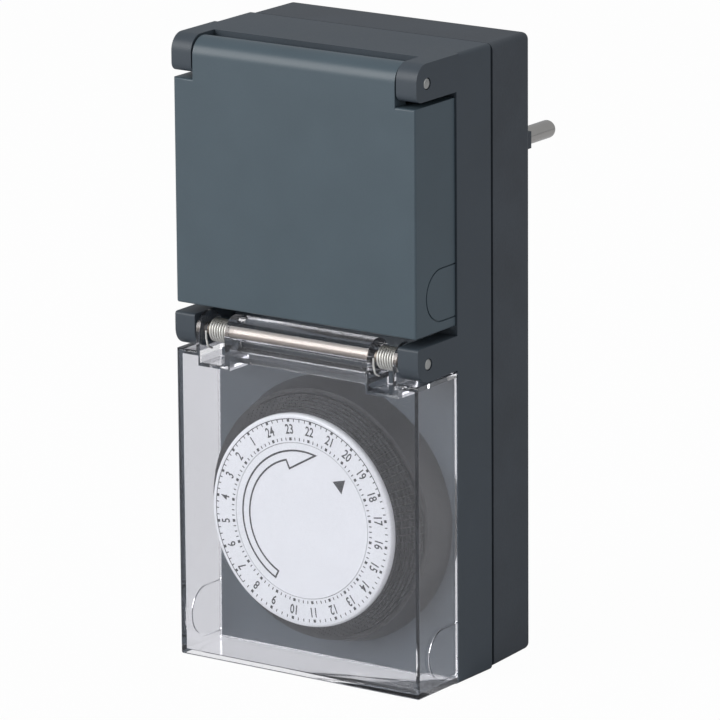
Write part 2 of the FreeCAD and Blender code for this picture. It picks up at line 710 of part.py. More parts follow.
def contact_carrier():
    back = f"({CUP_BACK} + carrier_depth)"
    block = rod("carrier_block", "0", (CUP_BACK, back), "socket_height", "carrier_radius")
    holes = [rod(f"carrier_hole_{side}", f"{side} * pin_spacing / 2", (CUP_BACK + " - 1", back + " + 1"),
                 "socket_height", "plug_pin_radius + contact_wall + 2 * running") for side in ("1", "-1")]
    node("contact_carrier", cut("carrier_final", block, *holes))


def socket_contact(name, side):
    """Split sleeve that grips a plug's pin."""
    span = (CUP_BACK, f"{CUP_BACK} + contact_length")
    x = f"{side} * pin_spacing / 2"
    outer = rod(name + "_outer", x, span, "socket_height", "plug_pin_radius + running + contact_wall")
    bore = rod(name + "_bore", x, (f"{CUP_BACK} - 1", f"{CUP_BACK} + contact_length + 1"), "socket_height",
               "plug_pin_radius + running")
    slit = box(name + "_slit", (f"{x} - strip / 2", f"{x} + strip / 2"), (span[0] + " - 1", f"{span[1]} - 4"),
               ("socket_height - plug_pin_radius - contact_wall - 1", "socket_height"))
    node(name, cut(name + "_sleeve", outer, bore, slit))


def earth_clips():
    half = "(earth_strip_width / 2)"
    back = f"({CUP_BACK} + carrier_depth)"
    arm = "(recess_radius - strip)"
    cross = box("clip_cross", (f"0 - {half}", half), (back, back + " + strip"),
                (f"socket_height - {arm} - strip", f"socket_height + {arm} + strip"))
    pieces = [cross]
    for sign, name in (("1", "top"), ("-1", "bottom")):
        middle = f"socket_height + {sign} * ({arm} + strip / 2)"
        pieces.append(box(f"clip_arm_{name}", (f"0 - {half}", half), (CUP_FRONT + " + 5", back + " + strip"),
                          (f"{middle} - strip / 2", f"{middle} + strip / 2")))
        pieces.append(cross_rod(f"clip_nose_{name}", (f"0 - {half}", half), CUP_FRONT + " + 8",
                                f"socket_height + {sign} * {arm}", "strip"))
    node("earth_clips", fuse("clip_strip", *pieces))


def plug_core():
    play = "(wall + running)"
    span = (f"{PLUG_FACE} - core_depth", PLUG_FACE)
    block = common("core_block",
                   rod("core_round", "0", span, "plug_height", f"plug_radius - {play}"),
                   box("core_flats", (f"{play} - plug_half_width", f"plug_half_width - {play}"), span,
                       ("plug_height - plug_radius", "plug_height + plug_radius")))
    holes = [rod(f"core_hole_{side}", f"{side} * pin_spacing / 2", (span[0] + " - 1", span[1] + " + 1"),
                 "plug_height", "tail_radius + running") for side in ("1", "-1")]
    node("plug_core", cut("core_final", block, *holes))


def plug_pin(name, side):
    """Solid round pin with a rounded tip, and a thinner tail held in the core."""
    owner = body(name, f"{side} * pin_spacing / 2", "0", "plug_height")
    tip = f"({PLUG_FACE} + plug_pin_length)"
    disc(owner, name + "_tail", (f"{PLUG_FACE} - core_depth - pin_tail", PLUG_FACE), "tail_radius")
    shaft = disc(owner, name + "_shaft", (PLUG_FACE, tip), "plug_pin_radius")
    doc.recompute()
    last = shaft.Shape.BoundBox.YMax
    rounding(owner, name + "_tip", shaft, 0.75 * size("plug_pin_radius"),
             lambda edge: edge.Curve.TypeId == "Part::GeomCircle" and edge.CenterOfMass.y > last - 0.1)


def plug_earth_strip():
    half = "(earth_strip_width / 2)"
    start = f"({PLUG_FACE} - 2 * core_depth)"
    pieces = [box("plug_cross", (f"0 - {half}", half), (start, start + " + strip"),
                  ("plug_height - plug_radius + strip / 2", "plug_height + plug_radius - strip / 2"))]
    for sign, name in (("1", "top"), ("-1", "bottom")):
        middle = f"plug_height + {sign} * (plug_radius - strip / 2)"
        pieces.append(box(f"plug_arm_{name}", (f"0 - {half}", half), (start, f"{PLUG_FACE} - 0.5"),
                          (f"{middle} - strip / 2", f"{middle} + strip / 2")))
    node("plug_earth_strip", fuse("plug_strip", *pieces))


def bus_bars():
    tail = f"({PLUG_FACE} - core_depth - pin_tail)"
    sleeve = f"({CUP_BACK} + contact_length)"
    half = "2.5"
    node("neutral_bar", box("neutral_strip", (f"pin_spacing / 2 - {half}", f"pin_spacing / 2 + {half}"),
                            (sleeve, tail), ("plug_height - 2.4", "plug_height - 2.4 + strip")))
    node("earth_bar", box("earth_strip_bar", (f"0 - {half}", half),
                          (f"{CUP_BACK} + carrier_depth + strip", f"{PLUG_FACE} - 2 * core_depth"),
                          ("plug_height - 2.4", "plug_height - 2.4 + strip")))
    left = ("0 - pin_spacing / 2 - 2.5", "0 - pin_spacing / 2 + 2.5")
    switch_z = "(dial_height - follower_drop)"
    switch_back = f"({PLATE_BACK} + switch_gap + switch_depth)"
    drop = f"({REAR} - wall - 1.6)"
    tab_x = ("0 - follower_side + 3.2", "0 - pin_spacing / 2 + 2.5")
    node("feed_bar", fuse(
        "feed_strip",
        box("feed_run", left, (drop, tail), ("plug_height + 1", "plug_height + 1 + strip")),
        box("feed_drop", left, (drop, drop + " + strip"), (f"{switch_z} - 4", "plug_height + 1 + strip")),
        box("feed_foot", tab_x, (drop, drop + " + strip"), (f"{switch_z} - 4", f"{switch_z} - 1")),
        box("feed_tab", (tab_x[0], tab_x[0] + " + 2.5"), (switch_back, drop + " + strip"),
            (f"{switch_z} - 4", f"{switch_z} - 4 + strip")),
    ))
    node("switched_bar", fuse(
        "switched_strip",
        box("switched_drop", left, (sleeve, sleeve + " + strip"), (f"{switch_z} + 1", "socket_height + 3.4")),
        box("switched_foot", ("0 - follower_side - 3", left[1]), (sleeve, sleeve + " + strip"),
            (f"{switch_z} + 1", f"{switch_z} + 4")),
        box("switched_tab", ("0 - follower_side - 3", "0 - follower_side"), (switch_back, sleeve + " + strip"),
            (f"{switch_z} + 4 - strip", f"{switch_z} + 4")),
    ))


def dial_parts():
    ring = body("dial_ring", "0", "0", "dial_height")
    face = disc(ring, "dial_face", (DIAL, DRUM_FRONT), "dial_radius", "cap_radius + 0.15")
    doc.recompute()
    front = face.Shape.BoundBox.YMin
    rounding(ring, "dial_edge", face, 0.9,
             lambda edge: edge.CenterOfMass.y < front + 0.1 and edge.Curve.Radius > size("cap_radius") + 2)
    cap = body("index_cap", "0", "0", "dial_height")
    disc(cap, "cap_face", (DIAL, f"{DIAL} + cap_thickness"), "cap_radius")
    disc(cap, "cap_boss", (f"{DIAL} + cap_thickness", f"{DIAL} + cap_thickness + 3"), "hub_radius - 0.5",
         "spindle_radius + running")
    spindle = body("dial_spindle", "0", "0", "dial_height")
    disc(spindle, "spindle_shaft", (f"{DIAL} + cap_thickness", PLATE_BACK), "spindle_radius")
    disc(spindle, "spindle_head", (PLATE_BACK, PLATE_BACK + " + 1.2"), "spindle_radius + 2")
    collar_span = (f"{DRUM_FRONT} + segment_length + 0.35", PANEL)
    node("dial_collar", cut("collar_ring",
                            cone("collar_outer", "0", collar_span, "dial_height", "collar_front_radius",
                                 "collar_base_radius"),
                            rod("collar_bore", "0", (collar_span[0] + " - 1", PANEL + " + 1"), "dial_height",
                                "collar_inner")))


def dial_drum():
    web = f"({DRUM_FRONT} + drum_depth)"
    drum = body("dial_drum", "0", "0", "dial_height")
    disc(drum, "drum_rim", (DRUM_FRONT, web), "drum_radius", "drum_radius - drum_wall")
    disc(drum, "drum_web_disc", (f"{web} - drum_web", web), "drum_radius", "spindle_radius + running")
    disc(drum, "drum_hub", (f"{DIAL} + cap_thickness + 3.3", f"{PLATE} - 0.3"), "hub_radius",
         "spindle_radius + running")
    disc(drum, "drum_gear", (GEAR_FRONT, GEAR_BACK), root_radius("drum_module", DRUM_TEETH),
         "spindle_radius + running")
    gear_teeth(drum, "drum_teeth", (GEAR_FRONT, GEAR_BACK), "drum_module", DRUM_TEETH)


def gear_train():
    gear = body("reduction_gear", "0", "0", WHEEL_Z, 180 / DRUM_PINION_TEETH)
    bore = "arbor_radius + running"
    disc(gear, "pinion_disc", (GEAR_FRONT, WHEEL_FRONT), root_radius("drum_module", DRUM_PINION_TEETH), bore)
    gear_teeth(gear, "pinion_teeth", (GEAR_FRONT, GEAR_BACK), "drum_module", DRUM_PINION_TEETH)
    disc(gear, "wheel_disc", (WHEEL_FRONT, WHEEL_BACK), root_radius("wheel_module", WHEEL_TEETH), bore)
    gear_teeth(gear, "wheel_teeth", (WHEEL_FRONT, WHEEL_BACK), "wheel_module", WHEEL_TEETH)
    arbor = body("gear_arbor", "0", "0", WHEEL_Z)
    disc(arbor, "arbor_shaft", (f"{PANEL} + wall + 0.2", PLATE_BACK), "arbor_radius")
    pinion = body("motor_pinion", MOTOR_X, "0", WHEEL_Z, 180 / MOTOR_PINION_TEETH)
    disc(pinion, "motor_pinion_disc", (WHEEL_FRONT, WHEEL_BACK), root_radius("wheel_module", MOTOR_PINION_TEETH))
    disc(pinion, "motor_shaft", (WHEEL_BACK, PLATE_BACK + " + 3"), "arbor_radius")
    gear_teeth(pinion, "motor_pinion_teeth", (WHEEL_FRONT, WHEEL_BACK), "wheel_module", MOTOR_PINION_TEETH)


def timer_works():
    plate = box("plate_blank", ("0 - plate_half_width", "plate_half_width"), (PLATE, PLATE_BACK),
                ("plate_low", "plate_high"))
    through = (PLATE + " - 1", PLATE_BACK + " + 1")
    holes = [
        rod("plate_spindle_hole", "0", through, "dial_height", "spindle_radius + running"),
        rod("plate_arbor_hole", "0", through, WHEEL_Z, "arbor_radius + running"),
        rod("plate_motor_hole", MOTOR_X, through, WHEEL_Z, "arbor_radius + 0.3"),
        rod("plate_follower_hole", "0 - follower_side", through, "dial_height - follower_drop",
            "follower_radius + 0.3"),
    ]
    screws = []
    for number, (x, z) in enumerate(plate_places()):
        holes.append(rod(f"plate_hole_{number}", x, through, z, "plate_screw_radius + 0.2"))
        shank = rod(f"plate_shank_{number}", x, (f"{PLATE} - 4", PLATE_BACK), z, "plate_screw_radius")
        head = rod(f"plate_head_{number}", x, (PLATE_BACK, f"{PLATE_BACK} + 1.6"), z, "2 * plate_screw_radius")
        screws.append(fuse(f"plate_screw_{number}", shank, head))
    node("timer_plate", cut("plate_final", plate, *holes))
    group = doc.addObject("Part::Compound", "plate_screw_group")
    group.Links = screws
    node("plate_screws", group)
    can = rod("motor_can", MOTOR_X, (PLATE_BACK, f"{PLATE_BACK} + motor_length"), WHEEL_Z, "motor_radius")
    shaft_room = rod("motor_room", MOTOR_X, (PLATE_BACK + " - 1", f"{PLATE_BACK} + 3.2"), WHEEL_Z,
                     "arbor_radius + running")
    node("motor", cut("motor_final", can, shaft_room))


def switch_parts():
    x = "0 - follower_side"
    z = "(dial_height - follower_drop)"
    tip = f"({DRUM_FRONT} + segment_length + segment_travel + follower_play)"
    follower_end = f"({PLATE_BACK} + switch_gap - follower_back_gap)"
    follower = body("switch_follower", x, "0", z)
    disc(follower, "follower_shaft", (tip, follower_end), "follower_radius")
    disc(follower, "follower_flange", (f"{PANEL} + wall + 0.3", f"{PANEL} + wall + 1.3"), "2 * follower_radius")
    plunger = body("switch_plunger", x, "0", z)
    disc(plunger, "plunger_shaft", (follower_end + " + 0.1", f"{PLATE_BACK} + switch_gap + 2"), "0.8 * follower_radius")
    low = (f"{x} - switch_width / 2", f"{x} + switch_width / 2")
    height = (f"{z} - switch_height / 2", f"{z} + switch_height / 2")
    back = f"({PLATE_BACK} + switch_gap + switch_depth)"
    block = box("switch_block", low, (PLATE_BACK, back), height)
    gap = box("switch_throat", (low[0] + " - 1", low[1] + " + 1"), (PLATE_BACK + " - 1", f"{PLATE_BACK} + switch_gap"),
              (f"{height[0]} + 2", f"{height[1]} - 2"))
    room = rod("plunger_room", x, (PLATE_BACK, f"{PLATE_BACK} + switch_gap + 2 + follower_travel + 0.3"), z,
               "0.8 * follower_radius + running")
    node("microswitch", cut("switch_final", block, gap, room))


def segment_profile():
    """Outline of a segment in (radius, y): smooth inside, stepped outside, widest at the back."""
    front = size("dial_front") + size("dial_thickness") - size("front_depth") / 2 - size("lid_depth")
    back = front + size("segment_length")
    inner = size("drum_radius") + 0.1
    steps = int((size("segment_outer") - size("dial_radius")) / size("segment_step"))
    outline = [(inner, back), (inner, front + 0.15)]
    depth = (back - front - 0.15) / steps
    for step in range(steps):
        radius = size("segment_outer") - (steps - 1 - step) * size("segment_step")
        outline.append((radius, front + 0.15 + step * depth))
        outline.append((radius, front + 0.15 + (step + 1) * depth))
    return outline


def segment_blocks():
    """Ninety-six quarter-hour segments around the drum, in blocks of two hours."""
    centre = V(0, 0, size("dial_height"))
    pitch = 360.0 / (SEGMENTS_PER_BLOCK * BLOCKS)
    points = [V(radius, y, size("dial_height")) for radius, y in segment_profile()]
    section = Part.Face(Part.makePolygon(points + points[:1]))
    single = section.revolve(centre, V(0, 1, 0), pitch * SEGMENT_FILL)
    for block in range(BLOCKS):
        solids = []
        for index in range(SEGMENTS_PER_BLOCK):
            copy = single.copy()
            copy.rotate(centre, V(0, 1, 0), pitch * (block * SEGMENTS_PER_BLOCK + index))
            solids.append(copy)
        item = doc.addObject("Part::Feature", f"segments_{block + 1:02d}_solids")
        item.Shape = Part.makeCompound(solids)
        node(f"segment_block_{block + 1:02d}", item)


def check(item):
    """Stop on a failed object."""
    if any(state in item.State for state in ("Invalid", "Error")):
        raise RuntimeError(f"{item.Label} did not compute: {item.State}")


make_sheet()
front_casing()
rear_casing()
casing_seal()
casing_screws()
socket_lid()
timer_lid()
hinge_pin("socket_lid_pin", "socket_hinge_height")
hinge_pin("timer_lid_pin", "timer_hinge_height")
springs()
socket_insert()
contact_carrier()
socket_contact("contact_right", "1")
socket_contact("contact_left", "-1")
earth_clips()
plug_core()
plug_pin("plug_pin_right", "1")
plug_pin("plug_pin_left", "-1")
plug_earth_strip()
bus_bars()
dial_parts()
dial_drum()
gear_train()
timer_works()
switch_parts()
segment_blocks()
doc.recompute()

for item in doc.Objects:
    check(item)
for name, item in nodes.items():
    if item.Shape.isNull() or not item.Shape.isValid():
        raise RuntimeError(f"{name} has no valid shape")
os.makedirs("parts", exist_ok=True)
for name, item in nodes.items():
    item.Shape.exportStep(f"parts/{name}.step")
    print(name, len(item.Shape.Solids), round(item.Shape.Volume, 2))
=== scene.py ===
"""Looks of an outdoor plug-in timer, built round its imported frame, in metres."""

from __future__ import annotations

import json
import logging
import math
from dataclasses import dataclass
from enum import Enum
from typing import Any, Protocol

import bpy
import numpy as np
from mathutils import Matrix, Vector

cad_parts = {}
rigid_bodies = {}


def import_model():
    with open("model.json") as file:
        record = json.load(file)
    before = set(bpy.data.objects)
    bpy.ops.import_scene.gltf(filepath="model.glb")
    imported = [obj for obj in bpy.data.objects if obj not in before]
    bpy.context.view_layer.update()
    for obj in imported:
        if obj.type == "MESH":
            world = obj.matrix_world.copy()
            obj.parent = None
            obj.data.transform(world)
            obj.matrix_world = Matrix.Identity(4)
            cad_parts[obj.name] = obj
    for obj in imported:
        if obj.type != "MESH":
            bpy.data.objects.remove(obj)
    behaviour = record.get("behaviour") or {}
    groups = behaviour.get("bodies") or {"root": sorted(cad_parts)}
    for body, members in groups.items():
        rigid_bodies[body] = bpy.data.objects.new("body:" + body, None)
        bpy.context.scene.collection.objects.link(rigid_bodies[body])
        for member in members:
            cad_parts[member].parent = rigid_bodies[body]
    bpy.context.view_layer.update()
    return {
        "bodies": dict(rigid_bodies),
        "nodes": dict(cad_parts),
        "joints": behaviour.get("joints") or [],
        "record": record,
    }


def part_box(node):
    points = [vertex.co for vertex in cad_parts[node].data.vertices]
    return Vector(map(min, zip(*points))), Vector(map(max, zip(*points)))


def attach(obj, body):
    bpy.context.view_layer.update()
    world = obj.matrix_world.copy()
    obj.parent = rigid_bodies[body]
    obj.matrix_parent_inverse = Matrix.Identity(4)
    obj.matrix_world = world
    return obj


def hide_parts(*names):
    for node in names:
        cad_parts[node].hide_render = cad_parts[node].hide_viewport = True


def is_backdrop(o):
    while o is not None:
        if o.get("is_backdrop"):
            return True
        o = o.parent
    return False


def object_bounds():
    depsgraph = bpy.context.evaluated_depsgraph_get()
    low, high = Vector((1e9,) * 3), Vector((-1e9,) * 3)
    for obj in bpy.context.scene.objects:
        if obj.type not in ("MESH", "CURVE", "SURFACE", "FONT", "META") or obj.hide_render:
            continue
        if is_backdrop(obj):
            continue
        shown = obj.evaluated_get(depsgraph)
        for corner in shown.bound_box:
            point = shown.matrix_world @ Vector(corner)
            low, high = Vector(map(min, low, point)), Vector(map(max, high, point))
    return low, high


LOG = logging.getLogger("timer")
MM = 0.001
Colour = tuple[float, float, float, float]
Number = float | int
Stretch = tuple[float, float, float]
Marks = tuple[np.ndarray, list[list[int]]]


class Term:
    """One output of a node tree, on which shader maths is written as a plain expression."""

    def __init__(self, shader: "Shader", socket: bpy.types.NodeSocket) -> None:
        """Wrap one socket.

        Args:
            shader: The node tree that the socket is in.
            socket: The output socket.
        """
        self.shader = shader
        self.socket = socket

    def _maths(self, operation: str, left: "Term | Number", right: "Term | Number") -> "Term":
        """Add one Math node.

        Args:
            operation: The Math node's operation.
            left: First value.
            right: Second value.

        Returns:
            The node's output.
        """
        return self.shader.node("ShaderNodeMath", {"operation": operation}, {0: left, 1: right})

    def __add__(self, other: "Term | Number") -> "Term":
        """Sum."""
        return self._maths("ADD", self, other)

    def __radd__(self, other: Number) -> "Term":
        """Sum with a number on the left."""
        return self._maths("ADD", other, self)

    def __sub__(self, other: "Term | Number") -> "Term":
        """Difference."""
        return self._maths("SUBTRACT", self, other)

    def __rsub__(self, other: Number) -> "Term":
        """Difference with a number on the left."""
        return self._maths("SUBTRACT", other, self)

    def __mul__(self, other: "Term | Number") -> "Term":
        """Product."""
        return self._maths("MULTIPLY", self, other)

    def __rmul__(self, other: Number) -> "Term":
        """Product with a number on the left."""
        return self._maths("MULTIPLY", other, self)

    def __gt__(self, other: "Term | Number") -> "Term":
        """1 where this value is greater, and 0 elsewhere."""
        return self._maths("GREATER_THAN", self, other)

    def at_most(self, limit: Number) -> "Term":
        """The smaller of this value and a limit."""
        return self._maths("MINIMUM", self, limit)

    def at_least(self, limit: Number) -> "Term":
        """The larger of this value and a limit."""
        return self._maths("MAXIMUM", self, limit)


class Shader:
    """The node tree of one material, or of the world."""

    def __init__(self, owner: bpy.types.Material | bpy.types.World) -> None:
        """Start an empty tree.

        Args:
            owner: The material or world.
        """
        self.owner = owner
        owner.use_nodes = True
        self.tree = owner.node_tree
        self.tree.nodes.clear()

    @classmethod
    def of_material(cls, name: str) -> "Shader":
        """Start a new material of this name."""
        return cls(bpy.data.materials.new(name))

    def node(
        self,
        kind: str,
        settings: dict[str, Any] | None = None,
        inputs: dict[str | int, Any] | None = None,
        output: str | int = 0,
    ) -> Term:
        """Add any node.

        Args:
            kind: The node's type.
            settings: Its settings, which are set first.
            inputs: Values or links of its sockets, by name or place.
            output: Which output to return.

        Returns:
            The chosen output.
        """
        made = self.tree.nodes.new(kind)
        for name, value in (settings or {}).items():
            setattr(made, name, value)
        for key, value in (inputs or {}).items():
            if isinstance(value, Term):
                self.tree.links.new(value.socket, made.inputs[key])
            else:
                made.inputs[key].default_value = value
        return Term(self, made.outputs[output])

    def place(self) -> Term:
        """The point on the surface, in object coordinates."""
        return self.node("ShaderNodeTexCoord", output="Object")

    def noise(self, grain: float, detail: float = 2.0, stretch: Stretch = (1.0, 1.0, 1.0)) -> Term:
        """Noise whose features are about one grain across.

        Args:
            grain: Size of a feature, in metres.
            detail: How many finer octaves it has.
            stretch: How much finer it is along each axis.

        Returns:
            The noise, from 0 to 1.
        """
        spot = self.node("ShaderNodeMapping", inputs={"Vector": self.place(), "Scale": stretch})
        settings = {"Vector": spot, "Scale": 1.0 / grain, "Detail": detail}
        return self.node("ShaderNodeTexNoise", inputs=settings)

    def between(self, share: Term, low: Colour, high: Colour) -> Term:
        """Colour between two colours.

        Args:
            share: 0 gives the first colour and 1 the second.
            low: First colour.
            high: Second colour.

        Returns:
            The mixed colour.
        """
        return self.node("ShaderNodeMix", {"data_type": "RGBA"}, {0: share, 6: low, 7: high}, 2)

    def bump(self, height: Term, depth: float, strength: float) -> Term:
        """Normal of a fine relief.

        Args:
            height: Height from 0 to 1.
            depth: Depth of the relief, in metres.
            strength: How strongly it shows.

        Returns:
            The normal.
        """
        relief = {"Strength": strength, "Distance": depth, "Height": height}
        return self.node("ShaderNodeBump", inputs=relief, output="Normal")

    def principled(self, **sockets: Any) -> Term:
        """Add the main shader.

        Args:
            **sockets: Socket values, with _ for each space in a socket's name.

        Returns:
            The shader's output.
        """
        named = {name.replace("_", " "): value for name, value in sockets.items()}
        return self.node("ShaderNodeBsdfPrincipled", inputs=named)

    def done(self, surface: Term) -> bpy.types.Material | bpy.types.World:
        """Connect the surface and return the material or world."""
        kind = "World" if isinstance(self.owner, bpy.types.World) else "Material"
        made = self.tree.nodes.new("ShaderNodeOutput" + kind)
        self.tree.links.new(surface.socket, made.inputs["Surface"])
        return self.owner


def shade(colour: Colour, factor: float) -> Colour:
    """A colour made lighter or darker.

    Args:
        colour: The colour.
        factor: What each channel is multiplied by.

    Returns:
        The new colour.
    """
    return (*(min(1.0, channel * factor) for channel in colour[:3]), 1.0)


class Finish(Protocol):
    """Anything that can make a material."""

    def make(self, name: str) -> bpy.types.Material:
        """Build the material under this name."""
        ...


@dataclass(frozen=True)
class MouldedPlastic:
    """Opaque moulded plastic with a fine grain and a faint mottle."""

    colour: Colour
    roughness: float = 0.45
    grain: float = 0.45 * MM
    depth: float = 0.03 * MM
    strength: float = 0.35
    mottle: float = 0.12

    def make(self, name: str) -> bpy.types.Material:
        """Grain bumps the surface, and a broad and a fine noise vary its colour and gloss.

        The colour's share is the mix of both noises, spread by a contrast round its middle.

        Args:
            name: The material's name.

        Returns:
            The material.
        """
        shader = Shader.of_material(name)
        fine = shader.noise(self.grain, 3.0)
        broad = shader.noise(14 * MM, 3.0)
        share = ((broad * 0.6 + fine * 0.4 - 0.5) * 2.2 + 0.5).at_least(0.0).at_most(1.0)
        dark, light = shade(self.colour, 1 - self.mottle), shade(self.colour, 1 + self.mottle)
        colour = shader.between(share, dark, light)
        rough = self.roughness + (fine - 0.5) * 0.14 + (broad - 0.5) * 0.10
        surface = shader.principled(
            Base_Color=colour,
            Roughness=rough,
            Normal=shader.bump(fine, self.depth, self.strength),
        )
        return shader.done(surface)


@dataclass(frozen=True)
class ClearPlastic:
    """Clear plastic with a fine speckle that veils what is behind it."""

    tint: Colour = (0.85, 0.85, 0.875, 1.0)
    veil: Colour = (0.66, 0.70, 0.80, 1.0)
    haze: float = 0.018
    roughness: float = 0.05

    def make(self, name: str) -> bpy.types.Material:
        """Glass mixed with a little pale scatter, whose share varies in fine specks.

        Args:
            name: The material's name.

        Returns:
            The material.
        """
        shader = Shader.of_material(name)
        speck = shader.noise(0.5 * MM, 2.0)
        cloud = shader.noise(22 * MM, 2.0)
        glass = shader.principled(
            Base_Color=self.tint,
            Roughness=self.roughness + (speck - 0.5) * 0.06,
            IOR=1.49,
            Transmission_Weight=1.0,
            Normal=shader.bump(speck, 0.012 * MM, 0.25),
        )
        scatter = shader.principled(Base_Color=self.veil, Roughness=0.35 + (speck - 0.5) * 0.2)
        share = self.haze + (speck - 0.5) * 0.06 + (cloud - 0.5) * 0.02
        share = share.at_least(0.0).at_most(0.6)
        surface = shader.node("ShaderNodeMixShader", inputs={0: share, 1: glass, 2: scatter})
        return shader.done(surface)


class Lay(Enum):
    """Which way the drawing or brushing marks of a metal run."""

    ACROSS = (0.04, 1.0, 1.0)
    DEEP = (1.0, 0.04, 1.0)
    NONE = (1.0, 1.0, 1.0)


@dataclass(frozen=True)
class BareMetal:
    """Bare or plated metal with fine marks along its lay."""

    colour: Colour
    roughness: float = 0.28
    lay: Lay = Lay.NONE
    marks: float = 0.35 * MM
    tarnish: float = 0.15

    def make(self, name: str) -> bpy.types.Material:
        """Marks stretched along the lay vary the gloss, and a broad noise dulls the colour in patches.

        Args:
            name: The material's name.

        Returns:
            The material.
        """
        shader = Shader.of_material(name)
        mark = shader.noise(self.marks, 3.0, self.lay.value)
        patch = shader.noise(5 * MM, 3.0)
        colour = shader.between(patch, shade(self.colour, 1 - self.tarnish), self.colour)
        surface = shader.principled(
            Base_Color=colour,
            Metallic=1.0,
            Roughness=self.roughness + (mark - 0.5) * 0.22 + (patch - 0.5) * 0.10,
            Normal=shader.bump(mark, 0.01 * MM, 0.30),
        )
        return shader.done(surface)


@dataclass(frozen=True)
class DialPlastic:
    """White semi-gloss plastic with faint turning streaks round the dial's middle."""

    colour: Colour
    middle: float
    streaks: float = 45.0
    print_radius: float = 26.7 * MM

    def make(self, name: str) -> bpy.types.Material:
        """The angle round the dial drives streaks that show only outside the printed face.

        Args:
            name: The material's name.

        Returns:
            The material.
        """
        shader = Shader.of_material(name)
        shift = {"Vector": shader.place(), "Location": (0.0, 0.0, -self.middle)}
        spot = shader.node("ShaderNodeMapping", inputs=shift)
        parts = shader.node("ShaderNodeSeparateXYZ", inputs={0: spot})
        across = Term(shader, parts.socket.node.outputs["X"])
        upward = Term(shader, parts.socket.node.outputs["Z"])
        angle = shader.node("ShaderNodeMath", {"operation": "ARCTAN2"}, {0: upward, 1: across})
        far = shader.node("ShaderNodeMath", {"operation": "SQRT"}, {0: across * across + upward * upward})
        along = {"W": angle * self.streaks, "Scale": 1.0, "Detail": 3.0}
        streak = shader.node("ShaderNodeTexNoise", {"noise_dimensions": "1D"}, along)
        rim = far > self.print_radius
        broad = shader.noise(9 * MM, 3.0)
        share = ((streak - 0.5) * rim * 0.9 + (broad - 0.5) * 0.5 + 0.5).at_least(0.0).at_most(1.0)
        colour = shader.between(share, shade(self.colour, 0.94), shade(self.colour, 1.03))
        surface = shader.principled(
            Base_Color=colour,
            Roughness=0.34 + (broad - 0.5) * 0.10 - rim * 0.12,
            Coat_Weight=0.2 + rim * 0.4,
            Coat_Roughness=0.12,
            Normal=shader.bump(shader.noise(0.9 * MM, 3.0), 0.01 * MM, 0.2),
        )
        return shader.done(surface)


@dataclass(frozen=True)
class PrintInk:
    """Dark pad-printed ink, slightly uneven."""

    colour: Colour = (0.018, 0.019, 0.022, 1.0)

    def make(self, name: str) -> bpy.types.Material:
        """Fine noise thins the ink in small spots.

        Args:
            name: The material's name.

        Returns:
            The material.
        """
        shader = Shader.of_material(name)
        fine = shader.noise(0.25 * MM, 3.0)
        colour = shader.between(fine, shade(self.colour, 0.7), shade(self.colour, 1.7))
        surface = shader.principled(
            Base_Color=colour, Roughness=0.5 + (fine - 0.5) * 0.2, Normal=shader.bump(fine, 0.005 * MM, 0.2)
        )
        return shader.done(surface)


DIAL_MIDDLE = 41.3 * MM
FINISHES: dict[str, Finish] = {
    "casing_plastic": MouldedPlastic((0.059, 0.075, 0.092, 1.0), 0.46, mottle=0.10),
    "rear_plastic": MouldedPlastic(
        (0.060, 0.071, 0.085, 1.0), 0.54, mottle=0.22, grain=0.8 * MM, depth=0.07 * MM, strength=0.65
    ),
    # Painted light: lid_plastic is the casing's plastic made about half again as light, painting the key
    # lamp's light on the lid's front into its colour.
    "lid_plastic": MouldedPlastic((0.082, 0.116, 0.139, 1.0), 0.36, mottle=0.07, strength=0.28),
    "clear_plastic": ClearPlastic(),
    "black_rubber": MouldedPlastic((0.012, 0.012, 0.013, 1.0), 0.7, mottle=0.2),
    "screw_steel": BareMetal((0.60, 0.60, 0.58, 1.0), 0.32),
    "pin_steel": BareMetal((0.40, 0.345, 0.30, 1.0), 0.58, Lay.ACROSS),
    "spring_steel": BareMetal((1.0, 0.99, 0.95, 1.0), 0.50, tarnish=0.03),
    "socket_plastic": MouldedPlastic((0.035, 0.037, 0.040, 1.0), 0.30, depth=0.015 * MM),
    "inner_plastic": MouldedPlastic((0.10, 0.10, 0.105, 1.0), 0.5),
    "contact_brass": BareMetal((0.78, 0.60, 0.30, 1.0), 0.28, Lay.DEEP),
    "nickel": BareMetal((0.70, 0.67, 0.63, 1.0), 0.14, Lay.DEEP),
    "dial_white": DialPlastic((0.76, 0.775, 0.80, 1.0), DIAL_MIDDLE),
    "dial_black": MouldedPlastic((0.010, 0.010, 0.012, 1.0), 0.46, mottle=0.25),
    "segment_black": MouldedPlastic(
        (0.012, 0.012, 0.014, 1.0), 0.42, mottle=0.30, grain=0.9 * MM
    ),
    "gear_nylon": MouldedPlastic((0.78, 0.76, 0.68, 1.0), 0.35, mottle=0.05),
    "motor_steel": BareMetal((0.50, 0.50, 0.50, 1.0), 0.36, Lay.ACROSS),
}


def new_piece(
    name: str, points: np.ndarray, faces: list[list[int]], smooth: bool = True
) -> bpy.types.Object:
    """A mesh object at the origin.

    Args:
        name: The piece's name.
        points: Corners in the row frame, as rows of x, y and z.
        faces: Corner numbers of each face.
        smooth: Whether it is shaded smooth.

    Returns:
        The object, linked to the scene.
    """
    mesh = bpy.data.meshes.new(name)
    mesh.from_pydata(points.tolist(), [], faces)
    mesh.polygons.foreach_set("use_smooth", np.full(len(mesh.polygons), smooth))
    mesh.update()
    piece = bpy.data.objects.new(name, mesh)
    bpy.context.scene.collection.objects.link(piece)
    return piece


